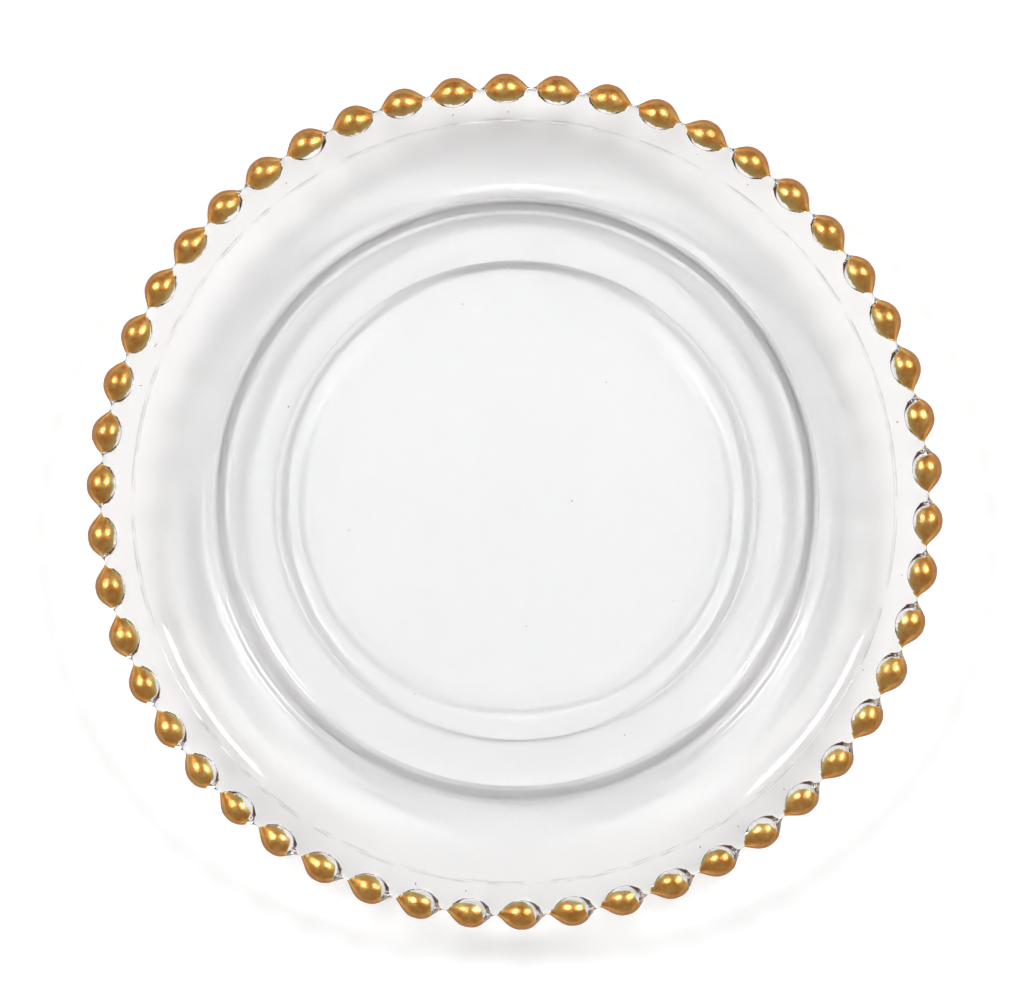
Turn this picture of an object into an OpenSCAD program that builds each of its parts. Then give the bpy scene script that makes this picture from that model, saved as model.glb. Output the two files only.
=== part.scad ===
// Round bread plate of clear pressed glass with a beaded rim, each bead gilded by hand.
// Millimetres, +Z up, origin on the table under the plate's centre.

/* [Overall] */
// Diameter over the gilded beads
plate_d = 160; // [146:1:200]
// Height from the table to the tops of the gilded beads
plate_h = 18.5; // [16.5:0.5:26]

/* [Well] */
// Diameter of the flat floor, measured to the foot of the well's wall
well_d = 108; // [86:0.5:112]
// Height of the floor's upper face above the table
floor_z = 4.9; // [4:0.1:7]
// Height of the well's wall, from the floor to the ledge
wall_h = 4.8; // [3:0.1:5.5]
// Outward lean of the wall over its height
wall_lean = 2.5; // [1.5:0.1:3]
// Rounding where the floor turns up into the wall
floor_fillet = 1; // [0.5:0.1:3]
// Rounding of the shoulder where the wall turns out into the ledge
shoulder_fillet = 3.3; // [0.5:0.1:4]
// How far the heel of the base stands outside the floor
heel_out = 1.2; // [0.8:0.1:2.5]
// Large rounding of that heel, where the base turns up under the wall
heel_fillet = 4.5; // [1:0.1:5]

/* [Flange] */
// Width of the nearly level ledge outside the well
ledge_w = 3.1; // [2.5:0.1:6]
// Rise of the ledge over its width
ledge_rise = 0.4; // [0:0.1:1]
// Glass thickness under the ledge
ledge_t = 2.3; // [1.9:0.1:3]
// Large rounding where the slope rolls over towards the rim band
roll_fillet = 7.6; // [4:0.1:8]

/* [Rim band] */
// Width of the flat band from its crease to the circle of the beads
band_w = 5.9; // [4.5:0.1:7]
// Glass thickness of the band
band_t = 2.5; // [2:0.1:3.2]
// How far the rounded edge stands outside the circle of the beads
edge_proud = 0.35; // [0.1:0.05:0.6]
// Width of the fine crease at the band's inner edge
crease_w = 0.3; // [0.1:0.05:0.5]
// Depth of that crease
crease_depth = 0.14; // [0.05:0.01:0.3]

/* [Foot] */
// Height of the foot ring under the base
foot_h = 1.1; // [0.8:0.1:1.6]
// Width of the flat ring that stands on the table
foot_flat = 1; // [0.6:0.1:2]
// Radial run of the foot's rounded outer flank
foot_flank = 3.1; // [2:0.1:4]
// Distance from the heel of the base in to the foot ring's outer corner
foot_inset = 9.9; // [6:0.1:16]
// Height of the hollowed centre of the underside above the table
hollow_z = 0.8; // [0.4:0.1:1.2]

/* [Beads] */
// Number of beads round the rim
bead_count = 50; // [40:1:52]
// Thickness of a glass bead
bead_w = 5.7; // [5:0.1:6.4]
// Length of a bead along the rim, from tip to tip
bead_len = 8.4; // [7.4:0.1:9]
// Radius of a bead's tips, where they run into the plate's edge
tip_r = 0.5; // [0.3:0.05:0.8]

/* [Gold] */
// Thickness of a gold coat
coat_t = 0.12; // [0.08:0.01:0.25]
// Bare glass left on the inner side of a bead, seen from above
coat_setback = 0.75; // [0.5:0.05:1.2]
// How much that bare width drifts from one side of the rim to the other
coat_drift = 0.3; // [0:0.05:0.4]
// How much it varies from bead to bead
coat_scatter = 0.22; // [0:0.02:0.3]
// Direction, round the rim, of the beads with the widest bare glass
bare_side = 255; // [0:5:355]
// How far a coat wraps round under a bead's outer side, in degrees below level
coat_under = 50; // [20:1:80]
// Mean bare glass left at each end of a bead
coat_end = 0.4; // [0.2:0.05:0.8]

/* [Hidden] */
$fn = 96;

// Radii and heights of the section, from the axis outwards
well_r = well_d / 2;
shoulder_r = well_r + wall_lean;
ledge_z = floor_z + wall_h;
slope_foot_r = shoulder_r + ledge_w;
slope_foot_z = ledge_z + ledge_rise;
bead_r = bead_w / 2;
bead_circle_r = plate_d / 2 - bead_r - coat_t;
bead_z = plate_h - bead_r - coat_t;
crease_r = bead_circle_r - band_w;
edge_r = bead_circle_r + edge_proud;
band_top = bead_z + band_t / 2;
band_under = bead_z - band_t / 2;
edge_round = band_t * 0.52;
heel_r = well_r + heel_out;
foot_corner_r = heel_r - foot_inset;
foot_out_r = foot_corner_r - foot_flank;
foot_in_r = foot_out_r - foot_flat;

// Small roundings and the roll's place, which need no setting of their own
slope_foot_fillet = 0.5;
roll_run = 1.6;
roll_drop = 0.32;
under_run = 1.4;
under_lag = 0.5;
under_roll_fillet = 5;
under_foot_fillet = 0.8;
corner_fillet = 2.7;
hollow_run = 1.8;
hollow_fillet = 2;
arc_step = 7.5;

// The roll's rounding, limited to what fits on the short stretch up to the crease
roll_reach = roll_run - crease_w / 2;
slope_angle = atan2(band_top - roll_drop - slope_foot_z, crease_r - roll_run - slope_foot_r);
roll_turn = slope_angle - atan2(roll_drop, roll_reach);
roll_r = min(roll_fillet, 0.98 * norm([roll_reach, roll_drop]) / tan(roll_turn / 2));

// A bead is a ball that tapers to a thin tip at each end; the tapers start inside the ball
taper_r = bead_r * 0.6;
taper_foot = bead_r * 0.7;

function coat_name(i) = str("gold_coat_", i < 10 ? "0" : "", i);

// Direction of a bead's centre; the first lies just past the +X axis
bead_phase = 4.75;
function bead_angle(i) = bead_phase + 360 * (i - 1) / bead_count;

// Repeatable scatter between -1 and 1 for the hand-made differences between beads
function scatter(i, stream) = sin(137.5 * i + 61 * stream) * cos(77.3 * i + 29 * stream);

// Outline points along an arc about a centre, angles in degrees
function arc(centre, radius, from, turn) =
    let (steps = ceil(abs(turn) / arc_step))
    [for (k = [0:steps]) centre + radius * [cos(from + turn * k / steps), sin(from + turn * k / steps)]];

function unit(v) = v / norm(v);

// The arc that rounds one corner of a section; a corner is [r, z, rounding radius]
function rounded_corner(before, corner, after) =
    let (
        here = [corner.x, corner.y],
        back = unit([before.x, before.y] - here),
        ahead = unit([after.x, after.y] - here),
        half = acos(back * ahead) / 2,
        centre = here + unit(back + ahead) * corner.z / sin(half),
        start = here + back * corner.z / tan(half) - centre,
        finish = here + ahead * corner.z / tan(half) - centre,
        from = atan2(start.y, start.x),
        turn = (atan2(finish.y, finish.x) - from + 540) % 360 - 180
    )
    arc(centre, corner.z, from, turn);

// A section through [r, z, rounding radius] corners; a corner with no radius stays sharp
function section(corners) = [
    for (k = [0:len(corners) - 1])
        each corners[k].z == 0
            ? [[corners[k].x, corners[k].y]]
            : rounded_corner(corners[k - 1], corners[k], corners[k + 1])
];

// Upper face, from the axis out to the rounded edge
upper_corners = [
    [0, floor_z, 0],
    [well_r, floor_z, floor_fillet],
    [shoulder_r, ledge_z, shoulder_fillet],
    [slope_foot_r, slope_foot_z, slope_foot_fillet],
    [crease_r - roll_run, band_top - roll_drop, roll_r],
    [crease_r - crease_w / 2, band_top, 0],
    [crease_r - crease_w / 2, band_top - crease_depth, 0],
    [crease_r + crease_w / 2, band_top - crease_depth, 0],
    [crease_r + crease_w / 2, band_top, 0],
    [edge_r - edge_round, band_top, 0],
];

// Lower face, from the edge in to the heel of the base and the foot ring's outer corner
lower_corners = [
    [edge_r - edge_round, band_under, 0],
    [crease_r - under_lag, band_under, under_roll_fillet],
    [slope_foot_r + under_run, slope_foot_z - ledge_t, under_foot_fillet],
    [heel_r + wall_lean, ledge_z - ledge_t, corner_fillet],
    [heel_r, foot_h, heel_fillet],
    [foot_corner_r, foot_h, 0],
];

// Foot ring: a round outer flank, tangent to the flat ring that stands on the table
flank_radius = (foot_flank ^ 2 + foot_h ^ 2) / (2 * foot_h);
flank_turn = 2 * atan(foot_h / foot_flank);
flank_points = arc([foot_out_r, flank_radius], flank_radius, flank_turn - 90, -flank_turn);

// Inside of the foot ring, rising softly to the hollowed centre
hollow_corners = [
    [foot_out_r, 0, 0],
    [foot_in_r, 0, hollow_fillet],
    [foot_in_r - hollow_run, hollow_z * 0.75, hollow_fillet],
    [foot_in_r - 2 * hollow_run, hollow_z, hollow_fillet],
    [0, hollow_z, 0],
];

plate_section = concat(section(concat(upper_corners, lower_corners)), flank_points, section(hollow_corners));

// Half outline of a bead about its long axis, grown outwards by a coat's thickness
module bead_outline(grow = 0) {
    intersection() {
        union() {
            circle(r = bead_r + grow);
            polygon([
                [0, -bead_len / 2],
                [tip_r + grow, -bead_len / 2],
                [taper_r + grow, -taper_foot],
                [taper_r + grow, taper_foot],
                [tip_r + grow, bead_len / 2],
                [0, bead_len / 2],
            ]);
        }
        translate([0, -bead_len])
            square([bead_len, 2 * bead_len]);
    }
}

// Puts children, drawn with the bead's centre at the origin and outwards as +X, at one bead
module at_bead(i) {
    rotate([0, 0, bead_angle(i)])
        translate([bead_circle_r, 0, bead_z])
            children();
}

module bead_body() {
    rotate([90, 0, 0])
        rotate_extrude()
            bead_outline();
}

// The rounded edge of the band, a hair thicker than the band itself
module edge_bead() {
    translate([edge_r - edge_round, bead_z])
        circle(r = edge_round);
}

// The band and its rounded edge, which a coat stops at
module band_ring() {
    rotate_extrude() {
        edge_bead();
        translate([crease_r, band_under])
            square([edge_r - edge_round - crease_r, band_t]);
    }
}

module glass_plate() {
    color([0.85, 0.92, 0.91, 0.4])
        union() {
            rotate_extrude() {
                polygon(plate_section);
                edge_bead();
            }
            for (i = [1:bead_count])
                at_bead(i)
                    bead_body();
        }
}

module gold_coat(i) {
    bare = coat_setback + coat_drift * cos(bead_angle(i) - bare_side) + coat_scatter * scatter(i, 1);
    upper = 90 + asin((bead_r - bare) / bead_r);
    low_end = coat_end * (1 + 0.5 * scatter(i, 2));
    high_end = coat_end * (1 + 0.5 * scatter(i, 3));
    color([0.80, 0.57, 0.22])
        difference() {
            at_bead(i)
                rotate([90, 0, 0])
                    rotate([0, 0, -coat_under])
                        rotate_extrude(angle = coat_under + upper)
                            difference() {
                                intersection() {
                                    bead_outline(coat_t);
                                    translate([0, low_end - bead_len / 2])
                                        square([bead_len, bead_len - low_end - high_end]);
                                }
                                bead_outline();
                            }
            band_ring();
        }
}

glass_plate();
for (i = [1:bead_count])
    gold_coat(i);
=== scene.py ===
import math

import bpy
from mathutils import Matrix, Vector, noise


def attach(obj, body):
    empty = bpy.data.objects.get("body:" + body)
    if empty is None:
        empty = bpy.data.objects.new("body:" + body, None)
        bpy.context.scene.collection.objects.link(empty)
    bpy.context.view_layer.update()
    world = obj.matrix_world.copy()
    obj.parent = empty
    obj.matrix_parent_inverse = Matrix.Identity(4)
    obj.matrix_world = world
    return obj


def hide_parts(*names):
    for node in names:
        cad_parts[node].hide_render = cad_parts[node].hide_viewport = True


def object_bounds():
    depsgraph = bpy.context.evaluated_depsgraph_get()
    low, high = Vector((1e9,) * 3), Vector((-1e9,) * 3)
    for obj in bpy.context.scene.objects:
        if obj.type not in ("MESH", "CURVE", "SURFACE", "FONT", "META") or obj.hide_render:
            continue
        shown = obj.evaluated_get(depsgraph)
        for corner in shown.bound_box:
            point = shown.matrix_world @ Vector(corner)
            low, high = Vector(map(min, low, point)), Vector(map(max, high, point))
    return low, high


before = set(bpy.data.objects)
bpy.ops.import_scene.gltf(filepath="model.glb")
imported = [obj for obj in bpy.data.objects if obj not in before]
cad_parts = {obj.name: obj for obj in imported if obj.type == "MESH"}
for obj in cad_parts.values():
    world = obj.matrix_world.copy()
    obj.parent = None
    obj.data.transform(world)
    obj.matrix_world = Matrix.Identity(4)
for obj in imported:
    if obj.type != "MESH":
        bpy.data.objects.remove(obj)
cad_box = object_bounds()
MM = 0.001

# Overall sizes in millimetres and the number of beads, from the frame
PLATE_D = (cad_box[1][0] - cad_box[0][0]) / MM
PLATE_H = cad_box[1][2] / MM
BEAD_COUNT = sum(name.startswith("gold_coat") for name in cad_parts)

# Other sizes in millimetres and the first bead's direction in degrees, the same as the construction model's
BEAD_PHASE = 4.75
BEAD_R = 2.85
COAT_T = 0.12
WELL_R = 54.0
FLOOR_Z = 4.9
WALL_H = 4.8
WALL_LEAN = 2.5
FLOOR_FILLET = 1.0
SHOULDER_FILLET = 3.3
HEEL_OUT = 1.2
HEEL_FILLET = 4.5
LEDGE_W = 3.1
LEDGE_RISE = 0.4
LEDGE_T = 2.3
BAND_W = 5.9
BAND_T = 2.5
EDGE_PROUD = 0.35
CREASE_W = 0.3
CREASE_DEPTH = 0.14
FOOT_H = 1.1
FOOT_FLAT = 1.0
FOOT_FLANK = 3.1
FOOT_INSET = 9.9
HOLLOW_Z = 0.8
HOLLOW_RUN = 1.8
HOLLOW_FILLET = 2
SLOPE_FOOT_FILLET = 0.5
ROLL_RUN = 1.6
ROLL_DROP = 0.32
ROLL_FILLET = 7.6
UNDER_RUN = 1.4
UNDER_LAG = 0.5
UNDER_ROLL_FILLET = 5
UNDER_FOOT_FILLET = 0.8
CORNER_FILLET = 2.7

# Places that follow from the sizes
BEAD_CIRCLE_R = PLATE_D / 2 - BEAD_R - COAT_T
BEAD_Z = PLATE_H - BEAD_R - COAT_T
PITCH = 2 * math.pi * BEAD_CIRCLE_R / BEAD_COUNT
SHOULDER_R = WELL_R + WALL_LEAN
LEDGE_Z = FLOOR_Z + WALL_H
SLOPE_FOOT_R = SHOULDER_R + LEDGE_W
SLOPE_FOOT_Z = LEDGE_Z + LEDGE_RISE
CREASE_R = BEAD_CIRCLE_R - BAND_W
EDGE_R = BEAD_CIRCLE_R + EDGE_PROUD
BAND_TOP = BEAD_Z + BAND_T / 2
BAND_UNDER = BEAD_Z - BAND_T / 2
HEEL_R = WELL_R + HEEL_OUT
FOOT_CORNER_R = HEEL_R - FOOT_INSET
FOOT_OUT_R = FOOT_CORNER_R - FOOT_FLANK
FOOT_IN_R = FOOT_OUT_R - FOOT_FLAT

# The rim's mesh starts outside the crease, and its section is drawn from a hub inside the beads
JOIN_R = CREASE_R + 1.5
NOSE_R = EDGE_R - BAND_T / 2
HUB_R = BEAD_CIRCLE_R - 0.6

# The rim's round part stands this much outside its exact outline
RIM_LIFT = 0.001

# A bead's half length, fullness and taper in plan and in height; how far its tips draw back from the circle
PLAN_SHAPE = (0.475 * PITCH, 2.4, 1.6)
SIDE_SHAPE = (0.46 * PITCH, 2, 1.4)
TIP_INSET = 0.5

# Mesh density: columns round the inner plate and the rim, longest step along a section and along an arc
INNER_COLUMNS = 8 * BEAD_COUNT
RIM_COLUMNS = 5 * INNER_COLUMNS
SECTION_STEP = 1.2
ARC_STEP = 0.12

# An edge that bends more than this is shaded sharp
SHARP_ANGLE = math.radians(30)

# Unevenness of the pressed glass: height, wavelength across, wavelength up and offset of each ripple
RIPPLES = [(0.012, 17, 9, 0), (0.003, 6, 4, 9)]
RIPPLE_MARGIN = 1

# The crease: drop of its inner lip, and how much of its depth is filled in, which swings round the plate
CREASE_LIP = 0.02
CREASE_FILL = 0.25
CREASE_SWING = 0.9
CREASE_WAVELENGTH = 6

# Air bubbles in the floor of the well, spread over it in a spiral
BUBBLES = 11
BUBBLE_R = 0.11
BUBBLE_SCATTER = 0.05
BUBBLE_Z = 3.2
BUBBLE_REACH = 50
GOLDEN_ANGLE = math.radians(137.5)

# A coat's cover on the bead's inner side, place of its middle and half length along the rim:
# mean, drift with the cosine and sine of the bead's direction, scatter from bead to bead, and seed
COVER = (2.2, -0.10, 0, 0.40, 3.7)
SHIFT = (-0.50, -0.22, 0.44, 0.25, 31.4)
HALF_LENGTH = (3.8, 0, 0.25, 0.35, 57.9)

# Angles, from the hub, of a coat's middle and lower edge and of the gap that it leaves at the band
COAT_CREST = math.radians(35)
COAT_UNDER = math.radians(-38)
BAND_GAP = 0.04

# A coat's lift off the glass, what it gains in height further in, and how much of its width its ends keep
COAT_LIFT = 0.02
COAT_BODY = 0.06
END_WIDTH = 0.25

# A coat's inner edge in plan: half length, fullness and taper; how near it comes to the bead's outline
COAT_SHAPE = (1, 2.2, 0.6)
COAT_REACH = 0.98

# Brush strokes in a coat's inner and lower edges: height, length and seed of each
INNER_STROKES = [(0.16, 1.3, 11.1), (0.11, 0.3, 5.5)]
UNDER_STROKES = [(0.2, 0.9, 23.3)]

# Painted shade darkens the gold on a bead's outer side: it starts at this angle above level and is full
# after the blend
OUTER_SHADE_FROM = math.radians(50)
OUTER_SHADE_BLEND = math.radians(18)

# Flecks of gold on the band: tries for each bead, how rarely one is left, its place and its sizes
FLECK_TRIES = 4
FLECK_RARITY = 0.55
FLECK_ASIDE = 4.2
FLECK_INSET = 4.0
FLECK_SCATTER = 1.1
FLECK_R = 0.20
FLECK_RAGGED = 0.12
FLECK_NARROWING = 0.6
FLECK_RISE = 0.05
FLECK_SINK = 0.01

# Looks of the glass from the rim inwards, as (radius in millimetres, value): grey with painted shade,
# painted shade in the crease, and roughness
TONE_R = 80
# Partly the glass's own grey, mostly painted shade: deepest over the foot ring and the well's wall, with a
# faint band on the flange for the beads' shadow on the table
GLASS_GREY_AND_PAINTED_SHADE = [
    (TONE_R, 0.977), (68, 0.976), (65.5, 0.968), (63, 0.984), (SLOPE_FOOT_R - 1, 0.990),
    (SHOULDER_R + 0.5, 0.978), (SHOULDER_R - 0.9, 0.974), (WELL_R + 0.2, 0.957),
    (FOOT_CORNER_R + 0.7, 0.958), (FOOT_CORNER_R + 0.1, 0.957), (FOOT_CORNER_R - 0.7, 0.930),
    (FOOT_OUT_R + 1.2, 0.930), (FOOT_OUT_R - 0.7, 0.948), (36, 0.973),
]
# Painted shade: a thin dark line along the rim's crease
CREASE_PAINTED_SHADE = [(TONE_R, 1), (CREASE_R + 0.47, 1), (CREASE_R + 0.14, 0.58), (CREASE_R - 0.16, 1), (0, 1)]
GLASS_ROUGHNESS = [
    (TONE_R, 0), (SHOULDER_R + 1.3, 0), (SHOULDER_R + 0.4, 0.30), (WELL_R + 0.8, 0.30), (WELL_R - 0.4, 0),
    (FOOT_CORNER_R + 1.1, 0), (FOOT_CORNER_R + 0.3, 0.22), (FOOT_OUT_R + 1, 0.22), (FOOT_OUT_R - 0.7, 0),
    (0, 0),
]

# Colours: the glass, the gold's streaks, its thin edges, the painted shade on its outer side and its sheen,
# and the table
GLASS_TINT = (0.81, 0.80, 0.81, 1)
GOLD_DARK = (0.92, 0.33, 0.05, 1)
GOLD_LIGHT = (1.0, 0.60, 0.17, 1)
GOLD_THIN = (1.0, 0.78, 0.30, 1)
GOLD_PAINTED_SHADE = (0.48, 0.44, 0.43, 1)
GOLD_SHEEN = (0.42, 0.24, 0.10, 1)
TABLE_PALE = (0.92, 0.92, 0.92, 1)
WHITE = (1, 1, 1, 1)

# Table in metres, and its own light as the camera sees it and as gold and glass show it
TABLE_HALF = 3.0
TABLE_Z = -0.0002
GLOW_TO_CAMERA = 0.36
GLOW_IN_OBJECT = 0.23

# Light from all round, and the directions of the two lamps in degrees
WORLD_LIGHT = 0.28
LAMP_AZIMUTHS = (32, 148)

# Camera in metres; the photograph's width is in pixels, and a pixel's size is at the level of the beads
PHOTO_W = 1024
PIXEL = 0.1864 * MM
SENSOR_W = 36
CAMERA_PLACE = Vector((0.026, 0.030, 0.9))
CAMERA_AIM = Vector((-0.0003, 0.00147, BEAD_Z * MM))


def turn_angle(k, count):
    """Direction of one of so many columns or beads, counted from the first bead."""
    return math.radians(BEAD_PHASE) + 2 * math.pi * k / count


def around(r, angle, z):
    """A point at a distance and direction from the plate's axis."""
    return r * math.cos(angle), r * math.sin(angle), z


def wave(seed, along=0, size=1):
    """Smooth repeatable wandering between about -1 and 1."""
    return 1.6 * noise.noise(Vector((along / size, 7.3 * seed, 2.1 * seed)))


def arc(centre, radius, start, turn):
    """Points along an arc in the section plane, angles in radians."""
    count = max(4, int(abs(turn) * radius / ARC_STEP) + 3)
    angles = [start + turn * k / count for k in range(count + 1)]
    return [(centre[0] + radius * math.cos(a), centre[1] + radius * math.sin(a)) for a in angles]


def rounded(corners):
    """A section outline through (r, z, rounding radius) corners; the end corners stay as they are."""
    points = [corners[0][:2]]
    for before, corner, after in zip(corners, corners[1:], corners[2:]):
        here = Vector(corner[:2])
        radius = corner[2]
        if radius == 0:
            points.append(tuple(here))
            continue
        back = (Vector(before[:2]) - here).normalized()
        ahead = (Vector(after[:2]) - here).normalized()
        half = back.angle(ahead) / 2
        centre = here + (back + ahead).normalized() * radius / math.sin(half)
        first = here + back * radius / math.tan(half) - centre
        last = here + ahead * radius / math.tan(half) - centre
        start = math.atan2(first.y, first.x)
        turn = (math.atan2(last.y, last.x) - start + math.pi) % (2 * math.pi) - math.pi
        points += arc(centre, radius, start, turn)
    return points + [corners[-1][:2]]


def split_long(points):
    """The same outline with no stretch longer than the section's step."""
    out = [points[0]]
    for p, q in zip(points, points[1:]):
        count = max(1, math.ceil(math.dist(p, q) / SECTION_STEP))
        for k in range(1, count + 1):
            out.append((p[0] + (q[0] - p[0]) * k / count, p[1] + (q[1] - p[1]) * k / count))
    return out


def upper_section():
    """Upper face from the axis to the band, where the rim mesh takes over."""
    return split_long(rounded([
        (0, FLOOR_Z, 0),
        (WELL_R, FLOOR_Z, FLOOR_FILLET),
        (SHOULDER_R, LEDGE_Z, SHOULDER_FILLET),
        (SLOPE_FOOT_R, SLOPE_FOOT_Z, SLOPE_FOOT_FILLET),
        (CREASE_R - ROLL_RUN, BAND_TOP - ROLL_DROP, ROLL_FILLET),
        (CREASE_R - CREASE_W / 2, BAND_TOP - CREASE_LIP, 0),
        (CREASE_R, BAND_TOP - CREASE_DEPTH, 0),
        (CREASE_R + CREASE_W / 2, BAND_TOP, 0),
        (JOIN_R, BAND_TOP, 0),
    ]))


def lower_section():
    """Lower face from the axis to the band."""
    flank_radius = (FOOT_FLANK ** 2 + FOOT_H ** 2) / (2 * FOOT_H)
    flank_turn = 2 * math.atan(FOOT_H / FOOT_FLANK)
    hollow = rounded([
        (0, HOLLOW_Z, 0),
        (FOOT_IN_R - 2 * HOLLOW_RUN, HOLLOW_Z, HOLLOW_FILLET),
        (FOOT_IN_R - HOLLOW_RUN, HOLLOW_Z * 0.75, HOLLOW_FILLET),
        (FOOT_IN_R, 0, HOLLOW_FILLET),
        (FOOT_OUT_R, 0, 0),
    ])
    flank = arc((FOOT_OUT_R, flank_radius), flank_radius, -math.pi / 2, flank_turn)
    rest = rounded([
        (FOOT_CORNER_R, FOOT_H, 0),
        (HEEL_R, FOOT_H, HEEL_FILLET),
        (HEEL_R + WALL_LEAN, LEDGE_Z - LEDGE_T, CORNER_FILLET),
        (SLOPE_FOOT_R + UNDER_RUN, SLOPE_FOOT_Z - LEDGE_T, UNDER_FOOT_FILLET),
        (CREASE_R - UNDER_LAG, BAND_UNDER, UNDER_ROLL_FILLET),
        (JOIN_R, BAND_UNDER, 0),
    ])
    return split_long(hollow + flank[1:] + rest[1:])


def swelling(along, half_length, fullness, taper):
    """Share of a bead's thickness or a coat's cover that is left at a distance from its middle."""
    return max(0.0, 1 - abs(along / half_length) ** fullness) ** taper


def bead_disc(along):
    """Centre radius, half width and half height of a bead's section at a distance along the rim."""
    plan = swelling(along, *PLAN_SHAPE)
    side = swelling(along, *SIDE_SHAPE)
    inset = TIP_INSET * (1 - plan)
    swell = BEAD_R - EDGE_PROUD
    return BEAD_CIRCLE_R - inset, EDGE_PROUD + swell * plan + inset, EDGE_PROUD + swell * side + inset


def ray_length(centre, half_width, half_height, angle):
    """Distance from the hub of the rim's section to an ellipse about a centre on the same level."""
    offset = centre - HUB_R
    across = math.cos(angle) / half_width
    steep = across ** 2 + (math.sin(angle) / half_height) ** 2
    push = offset * across / half_width
    return (push + math.sqrt(max(0.0, push ** 2 - steep * ((offset / half_width) ** 2 - 1)))) / steep


def rim_point(along, angle, lift):
    """A point (r, z) on the rim's round part, bead or rounded edge, seen at an angle from the hub."""
    bead = ray_length(*bead_disc(along), angle)
    nose = ray_length(NOSE_R, BAND_T / 2, BAND_T / 2, angle)
    reach = max(bead, nose) + lift
    return HUB_R + reach * math.cos(angle), BEAD_Z + reach * math.sin(angle)


def contact_angle(along):
    """Angle, from the hub, at which the rim's round part rises from the band."""
    centre, half_width, half_height = bead_disc(along)
    inner = NOSE_R
    if half_height > BAND_T / 2:
        inner = min(inner, centre - half_width * math.sqrt(1 - (BAND_T / 2 / half_height) ** 2))
    return math.atan2(BAND_T / 2, inner - HUB_R)


def rim_section(along, flat_rows=6, arc_rows=44):
    """Outline of the rim at one column: band top, round of the bead, band underside."""
    first = contact_angle(along)
    rounding = [rim_point(along, first - 2 * first * k / arc_rows, RIM_LIFT) for k in range(arc_rows + 1)]
    inner = rounding[0][0]
    top = [(JOIN_R + (inner - JOIN_R) * k / flat_rows, BAND_TOP) for k in range(flat_rows)]
    under = [(r, BAND_UNDER) for r, _ in reversed(top)]
    return top + rounding + under


def ripple(x, y, z):
    """Faint unevenness of pressed glass, as a height in millimetres."""
    lift = 0
    for height, across, up, offset in RIPPLES:
        lift += height * noise.noise(Vector((x / across + offset, y / across, z / up)))
    return lift


def crease_lift(x, y):
    """How far the crease's bottom is filled in, which differs round the plate."""
    return CREASE_DEPTH * (CREASE_FILL + CREASE_SWING * noise.noise(Vector((x, y, 0)) / CREASE_WAVELENGTH))


def turned_point(r, angle, z):
    """A point of the inner plate with the pressing's unevenness, which stops short of the rim's mesh."""
    x, y, z = around(r, angle, z)
    if math.isclose(r, CREASE_R, abs_tol=0.01) and z > BEAD_Z:
        return x, y, z + crease_lift(x, y)
    if RIPPLE_MARGIN < r < JOIN_R - RIPPLE_MARGIN:
        return x, y, z + ripple(x, y, z)
    return x, y, z


def turned(section):
    """Vertex rings of a section turned about the plate's axis; a point on the axis stays single."""
    rings = []
    for r, z in section:
        columns = INNER_COLUMNS if r > 0 else 1
        rings.append([turned_point(r, turn_angle(k, columns), z) for k in range(columns)])
    return rings


def rim_rings():
    """Vertex rings of the rim, from the band's top to its underside, without those at the join."""
    columns = []
    for k in range(RIM_COLUMNS):
        share = (k * BEAD_COUNT / RIM_COLUMNS + 0.5) % 1 - 0.5
        angle = turn_angle(k, RIM_COLUMNS)
        columns.append([around(r, angle, z) for r, z in rim_section(share * PITCH)])
    return [[column[row] for column in columns] for row in range(1, len(columns[0]) - 1)]


def strip_faces(a, b):
    """Faces between two vertex rings; one may be a point or have several times the other's columns."""
    if len(a) > len(b):
        return [face[::-1] for face in strip_faces(b, a)]
    times = len(b) // len(a)
    if len(a) == 1:
        return [(a[0], b[k], b[(k + 1) % times]) for k in range(times)]
    faces = []
    for k in range(len(a)):
        fan = [b[(k * times + n) % len(b)] for n in range(times + 1)]
        faces.append((a[k], *fan, a[(k + 1) % len(a)]))
    return faces


def add_bubble(verts, faces, centre, radius, columns=12, rows=7):
    """Adds to the glass a tiny air bubble, whose faces look inwards."""
    first = len(verts)
    for n in range(rows):
        polar = math.pi * (n + 0.5) / rows
        for k in range(columns):
            x, y, z = around(radius * math.sin(polar), 2 * math.pi * k / columns, radius * math.cos(polar))
            verts.append((centre[0] + x, centre[1] + y, centre[2] + z))
    rings = [list(range(first + n * columns, first + (n + 1) * columns)) for n in range(rows)]
    for upper, lower in zip(rings, rings[1:]):
        faces += [face[::-1] for face in strip_faces(upper, lower)]
    faces.append(tuple(reversed(rings[0])))
    faces.append(tuple(rings[-1]))


def glass_mesh():
    """Vertices and faces of the pressing, from the floor's middle over the rim and back underneath."""
    verts = []
    faces = []
    rings = []
    for ring in turned(upper_section()) + rim_rings() + turned(lower_section())[::-1]:
        rings.append(list(range(len(verts), len(verts) + len(ring))))
        verts += ring
    for a, b in zip(rings, rings[1:]):
        faces += strip_faces(a, b)
    for k in range(BUBBLES):
        centre = around(BUBBLE_REACH * math.sqrt((k + 0.5) / BUBBLES), GOLDEN_ANGLE * k, BUBBLE_Z)
        add_bubble(verts, faces, centre, BUBBLE_R + BUBBLE_SCATTER * wave(k + 0.3))
    return verts, faces


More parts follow.
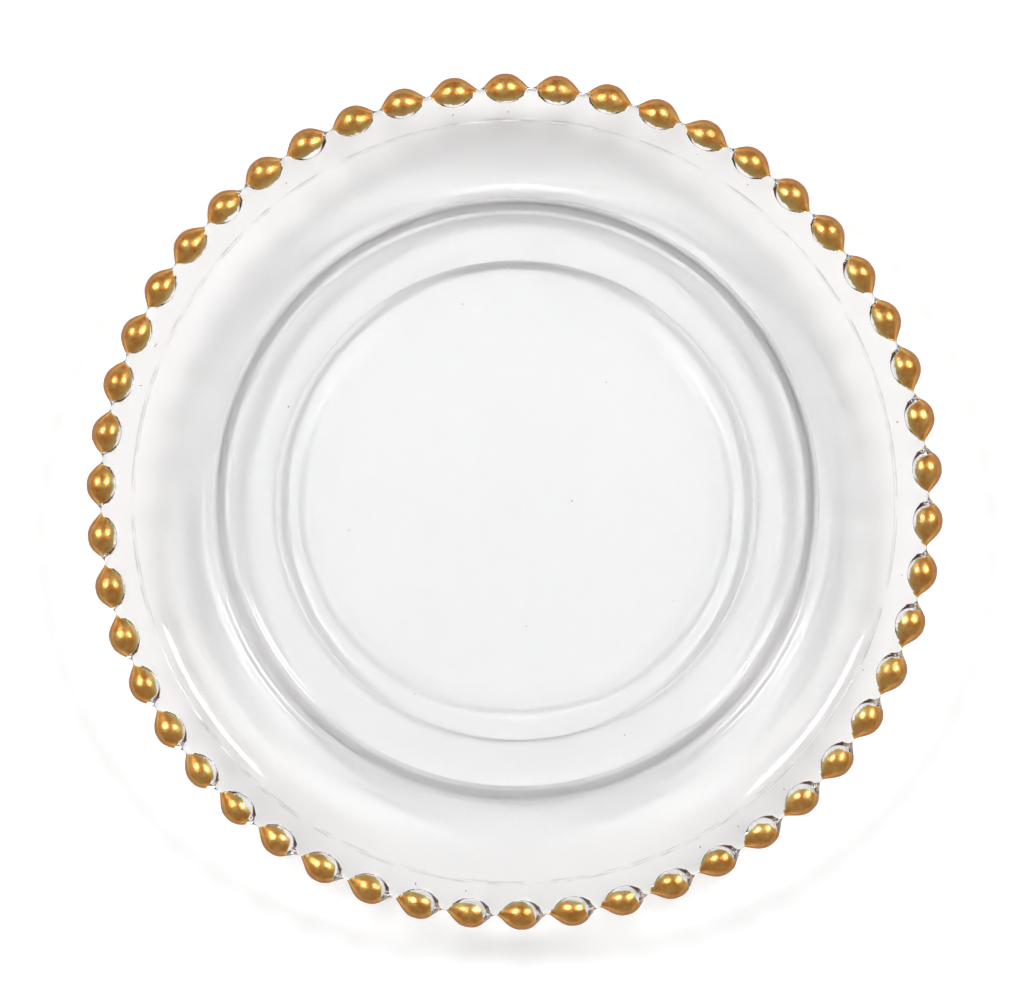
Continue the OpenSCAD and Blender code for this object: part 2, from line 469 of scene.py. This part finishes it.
def make_piece(name, verts, faces, material, nodes, slot, shades=None):
    """A mesh object in millimetre coordinates that stands for CAD nodes and rides on the one body."""
    mesh = bpy.data.meshes.new(name)
    mesh.from_pydata([(x * MM, y * MM, z * MM) for x, y, z in verts], [], faces)
    mesh.polygons.foreach_set("use_smooth", [True] * len(mesh.polygons))
    mesh.set_sharp_from_angle(angle=SHARP_ANGLE)
    mesh.materials.append(material)
    for shade, values in (shades or {}).items():
        mesh.attributes.new(shade, "FLOAT", "POINT").data.foreach_set("value", values)
    mesh.update()
    piece = bpy.data.objects.new(name, mesh)
    bpy.context.scene.collection.objects.link(piece)
    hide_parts(*nodes)
    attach(piece, "root")


def gilded(index, mean, cosine_drift, sine_drift, scatter, seed):
    """A measure of one coat, which drifts round the plate and differs from bead to bead."""
    angle = turn_angle(index, BEAD_COUNT)
    drifted = mean + cosine_drift * math.cos(angle) + sine_drift * math.sin(angle)
    return drifted + scatter * wave(index + seed)


def brushed(index, along, strokes):
    """Raggedness of a coat's edge, from (height, length, seed) strokes."""
    return sum(height * wave(index + seed, along, length) for height, length, seed in strokes)


def coat_edges(index, along, share, cover):
    """Angles, from the hub, of a coat's brushed lower and upper edge at a share of its half length."""
    centre, half_width, half_height = bead_disc(along)
    inner = cover * swelling(share, *COAT_SHAPE) + brushed(index, along, INNER_STROKES)
    reach = (BEAD_CIRCLE_R - inner - centre) / half_width
    lean = math.acos(max(-COAT_REACH, min(COAT_REACH, reach)))
    edge = math.atan2(half_height * math.sin(lean), centre + half_width * math.cos(lean) - HUB_R)
    upper = min(edge, contact_angle(along) - BAND_GAP)
    under = COAT_UNDER + brushed(index, along, UNDER_STROKES)
    return under, upper


def depth_in(k, count, steepness):
    """Rises from 0 at both ends of a row of points to 1 further in."""
    return min(1.0, steepness * min(k, count - k) / count)


def add_flecks(index, middle, verts, faces, corners=6):
    """Adds to a coat's mesh the few stray specks of gold that its brush left on the band."""
    for n in range(FLECK_TRIES):
        seed = index + 83.1 + 17.7 * n
        if wave(seed) < FLECK_RARITY:
            continue
        a = middle + FLECK_ASIDE * wave(seed + 0.4, 1) / BEAD_CIRCLE_R
        r = BEAD_CIRCLE_R - FLECK_INSET - FLECK_SCATTER * wave(seed + 0.9, 2)
        base = range(len(verts), len(verts) + corners)
        tip = base.stop
        for k in range(corners):
            turn = 2 * math.pi * k / corners
            size = FLECK_R + FLECK_RAGGED * wave(seed + 2.3, k)
            aside = a + FLECK_NARROWING * size * math.sin(turn) / r
            verts.append(around(r + size * math.cos(turn), aside, BAND_TOP - FLECK_SINK))
        verts.append(around(r, a, BAND_TOP + FLECK_RISE))
        faces.append(tuple(reversed(base)))
        faces += [(base[k], base[(k + 1) % corners], tip) for k in range(corners)]


def coat_mesh(index, columns=96, rows=30):
    """One coat of gold, a thin skin over a bead's outer and upper side, and its shades for the material:
    thin edges and painted shade on the outer side.
    """
    cover = gilded(index, *COVER)
    shift = gilded(index, *SHIFT)
    length = gilded(index, *HALF_LENGTH)
    middle = turn_angle(index, BEAD_COUNT)
    verts = []
    faces = []
    body = []
    outer = []
    for k in range(columns + 1):
        share = 2 * k / columns - 1
        along = shift + length * share
        under, upper = coat_edges(index, along, share, cover)
        pinch = END_WIDTH + (1 - END_WIDTH) * depth_in(k, columns, steepness=12)
        for n in range(rows + 1):
            angle = COAT_CREST + (under - COAT_CREST) * pinch + (upper - under) * pinch * n / rows
            rise = min(depth_in(n, rows, steepness=5), depth_in(k, columns, steepness=8))
            r, z = rim_point(along, angle, COAT_LIFT + COAT_BODY * rise)
            verts.append(around(r, middle + along / BEAD_CIRCLE_R, z))
            body.append(min(1.0, 12 * n / rows, 5 * (rows - n) / rows, depth_in(k, columns, steepness=20)))
            # Painted shade: how fully the gold is darkened, towards the bead's outer side
            outer.append(max(0.0, min(1.0, (OUTER_SHADE_FROM - angle) / OUTER_SHADE_BLEND)))
    for k in range(columns):
        for n in range(rows):
            first = k * (rows + 1) + n
            faces.append((first, first + rows + 1, first + rows + 2, first + 1))
    add_flecks(index, middle, verts, faces)
    # Flecks count as full body and take the full painted shade
    flecks = [1.0] * (len(verts) - len(body))
    return verts, faces, {"body": body + flecks, "outer": outer + flecks}


def new_material(name):
    """A material and its node tree, which has a Principled BSDF and an output."""
    material = bpy.data.materials.new(name)
    material.use_nodes = True
    return material, material.node_tree


def set_inputs(node, values):
    """Sets a node's inputs, by name, to constants."""
    for name, value in values.items():
        node.inputs[name].default_value = value


def feed(tree, socket, value):
    """Sets a socket to a constant, or links it where the value is another node's output."""
    if isinstance(value, bpy.types.NodeSocket):
        tree.links.new(value, socket)
    else:
        socket.default_value = value


def speckle(tree, scale, detail):
    """Noise that is fixed to the object."""
    place = tree.nodes.new("ShaderNodeTexCoord")
    pattern = tree.nodes.new("ShaderNodeTexNoise")
    set_inputs(pattern, {"Scale": scale, "Detail": detail})
    tree.links.new(place.outputs["Object"], pattern.inputs["Vector"])
    return pattern.outputs["Fac"]


def rescaled(tree, value, source, target):
    """A factor carried from one range to another."""
    node = tree.nodes.new("ShaderNodeMapRange")
    names = ("From Min", "From Max", "To Min", "To Max")
    set_inputs(node, dict(zip(names, source + target)))
    tree.links.new(value, node.inputs["Value"])
    return node.outputs["Result"]


def mixed(tree, factor, first, second, blend="MIX"):
    """Two colours mixed or blended by a factor."""
    node = tree.nodes.new("ShaderNodeMixRGB")
    node.blend_type = blend
    for name, value in zip(("Fac", "Color1", "Color2"), (factor, first, second)):
        feed(tree, node.inputs[name], value)
    return node.outputs["Color"]


def arithmetic(tree, operation, *values):
    """One calculation with constants and outputs of other nodes."""
    node = tree.nodes.new("ShaderNodeMath")
    node.operation = operation
    for socket, value in zip(node.inputs, values):
        feed(tree, socket, value)
    return node.outputs[0]


def mesh_shade(tree, name):
    """A value that the mesh keeps at each vertex."""
    node = tree.nodes.new("ShaderNodeAttribute")
    node.attribute_name = name
    return node.outputs["Fac"]


def colour_ramp(tree, factor, stops):
    """A colour ramp from (position, colour) stops."""
    node = tree.nodes.new("ShaderNodeValToRGB")
    elements = node.color_ramp.elements
    while len(elements) < len(stops):
        elements.new(1)
    for element, (position, colour) in zip(elements, stops):
        element.position = position
        element.color = colour
    tree.links.new(factor, node.inputs["Fac"])
    return node.outputs["Color"]


def radial_ramp(tree, stops):
    """A ramp over the distance from the plate's axis, from (radius in millimetres, value) stops."""
    place = tree.nodes.new("ShaderNodeTexCoord")
    flatten = tree.nodes.new("ShaderNodeMapping")
    scale = 1 / (TONE_R * MM)
    flatten.inputs["Scale"].default_value = (scale, scale, 0)
    tree.links.new(place.outputs["Object"], flatten.inputs["Vector"])
    inwards = tree.nodes.new("ShaderNodeTexGradient")
    inwards.gradient_type = "SPHERICAL"
    tree.links.new(flatten.outputs["Vector"], inwards.inputs["Vector"])
    greys = [(1 - radius / TONE_R, (value, value, value, 1)) for radius, value in stops]
    return colour_ramp(tree, inwards.outputs["Fac"], greys)


def glass_material():
    """Clear glass, faintly grey where light runs a long way inside it, with painted shade in bands over the
    foot ring, the well's wall and the flange, and along the rim's crease.
    """
    material, tree = new_material("clear_glass")
    surface = tree.nodes["Principled BSDF"]
    set_inputs(surface, {"Transmission Weight": 1, "IOR": 1.51})
    # Noise that makes the crease's painted shade patchy
    crease_shade_patches = rescaled(tree, speckle(tree, scale=220, detail=2), (0.40, 0.60), (0.12, 1))
    grey_and_painted_shade = mixed(tree, crease_shade_patches, radial_ramp(tree, GLASS_GREY_AND_PAINTED_SHADE), radial_ramp(tree, CREASE_PAINTED_SHADE), "MULTIPLY")
    tree.links.new(grey_and_painted_shade, surface.inputs["Base Color"])
    tree.links.new(radial_ramp(tree, GLASS_ROUGHNESS), surface.inputs["Roughness"])
    tint = tree.nodes.new("ShaderNodeVolumeAbsorption")
    set_inputs(tint, {"Color": GLASS_TINT, "Density": 40})
    tree.links.new(tint.outputs[0], tree.nodes["Material Output"].inputs["Volume"])
    return material


def gold_material():
    """Hand-brushed gold with streaks and grain, paler at thin edges, with painted shade darkening the outer
    side.
    """
    material, tree = new_material("gold_leaf")
    surface = tree.nodes["Principled BSDF"]
    set_inputs(surface, {
        "Metallic": 1,
        "Specular Tint": GOLD_SHEEN,
        "Coat Weight": 0.6,
        "Coat Roughness": 0.05,
    })
    streaks = speckle(tree, scale=700, detail=4)
    gold = colour_ramp(tree, streaks, [(0.3, GOLD_DARK), (0.7, GOLD_LIGHT)])
    thinned = mixed(tree, mesh_shade(tree, "body"), GOLD_THIN, gold)
    # Painted shade: the gold is multiplied darker on the bead's outer side
    outer_painted_shade = mixed(tree, mesh_shade(tree, "outer"), thinned, GOLD_PAINTED_SHADE, "MULTIPLY")
    tree.links.new(outer_painted_shade, surface.inputs["Base Color"])
    tree.links.new(rescaled(tree, streaks, (0, 1), (0.20, 0.48)), surface.inputs["Roughness"])
    grain = tree.nodes.new("ShaderNodeBump")
    set_inputs(grain, {"Strength": 0.7, "Distance": 0.0001})
    tree.links.new(speckle(tree, scale=1300, detail=3), grain.inputs["Height"])
    tree.links.new(grain.outputs["Normal"], surface.inputs["Normal"])
    return material


def table_material():
    """White table that keeps the shadow and is clear from below; its own light keeps it white."""
    material, tree = new_material("white_table")
    surface = tree.nodes["Principled BSDF"]
    set_inputs(surface, {
        "Base Color": TABLE_PALE,
        "Roughness": 0.9,
        "Specular IOR Level": 0.1,
        "Emission Color": WHITE,
    })
    path = tree.nodes.new("ShaderNodeLightPath")
    reflected = path.outputs["Is Glossy Ray"]
    refracted = path.outputs["Is Transmission Ray"]
    indirect = arithmetic(tree, "MAXIMUM", reflected, refracted)
    dimmed = arithmetic(tree, "MULTIPLY", indirect, GLOW_IN_OBJECT)
    glow = arithmetic(tree, "MULTIPLY_ADD", path.outputs["Is Camera Ray"], GLOW_TO_CAMERA, dimmed)
    tree.links.new(glow, surface.inputs["Emission Strength"])
    side = tree.nodes.new("ShaderNodeNewGeometry")
    clear = tree.nodes.new("ShaderNodeBsdfTransparent")
    either = tree.nodes.new("ShaderNodeMixShader")
    tree.links.new(side.outputs["Backfacing"], either.inputs[0])
    tree.links.new(surface.outputs[0], either.inputs[1])
    tree.links.new(clear.outputs[0], either.inputs[2])
    tree.links.new(either.outputs[0], tree.nodes["Material Output"].inputs["Surface"])
    return material


def add_table():
    """A square of table, a hair under the plate's foot."""
    signs = [(-1, -1), (1, -1), (1, 1), (-1, 1)]
    mesh = bpy.data.meshes.new("table")
    mesh.from_pydata([(x * TABLE_HALF, y * TABLE_HALF, TABLE_Z) for x, y in signs], [], [(0, 1, 2, 3)])
    mesh.materials.append(table_material())
    table = bpy.data.objects.new("table", mesh)
    bpy.context.scene.collection.objects.link(table)


def add_softbox(azimuth, zenith=41, distance=1.1, width=0.36, height=0.2, watts=4.6):
    """An oblong area lamp aimed at the plate."""
    tilt = math.radians(zenith)
    direction = Vector(around(math.sin(tilt), math.radians(azimuth), math.cos(tilt)))
    lamp = bpy.data.lights.new("softbox", "AREA")
    lamp.shape = "RECTANGLE"
    lamp.size = width
    lamp.size_y = height
    lamp.energy = watts
    holder = bpy.data.objects.new("softbox", lamp)
    holder.location = direction * distance
    holder.rotation_euler = (-direction).to_track_quat("-Z", "Y").to_euler()
    bpy.context.scene.collection.objects.link(holder)


def add_camera():
    """Looks down on the plate, a little from the upper right, as in the photograph."""
    view = CAMERA_PLACE - CAMERA_AIM
    camera = bpy.data.cameras.new("camera")
    camera.sensor_width = SENSOR_W
    camera.lens = SENSOR_W * view.length / (PHOTO_W * PIXEL)
    depth = view.normalized()
    right = Vector((0, 1, 0)).cross(depth).normalized()
    up = depth.cross(right)
    holder = bpy.data.objects.new("camera", camera)
    holder.location = CAMERA_PLACE
    holder.rotation_euler = Matrix((right, up, depth)).transposed().to_euler()
    bpy.context.scene.collection.objects.link(holder)
    bpy.context.scene.camera = holder


def add_world():
    """Dim even light from all round."""
    world = bpy.data.worlds.new("studio")
    world.use_nodes = True
    set_inputs(world.node_tree.nodes["Background"], {"Color": WHITE, "Strength": WORLD_LIGHT})
    bpy.context.scene.world = world


def set_light_paths():
    """Plain colours, and light that is followed all the way through the glass."""
    scene = bpy.context.scene
    scene.view_settings.view_transform = "Standard"
    scene.cycles.blur_glossy = 0
    scene.cycles.sample_clamp_indirect = 0
    scene.cycles.max_bounces = 32
    scene.cycles.glossy_bounces = 16
    scene.cycles.transmission_bounces = 16


make_piece("pressed_glass", *glass_mesh(), glass_material(), ["glass_plate"], "clear_glass")
gold_leaf = gold_material()
for number in range(BEAD_COUNT):
    coat, skin, shades = coat_mesh(number)
    node = f"gold_coat_{number + 1:02d}"
    make_piece(f"gilding_{number + 1:02d}", coat, skin, gold_leaf, [node], "gold_leaf", shades)

add_table()
for azimuth in LAMP_AZIMUTHS:
    add_softbox(azimuth)
add_world()
add_camera()
set_light_paths()
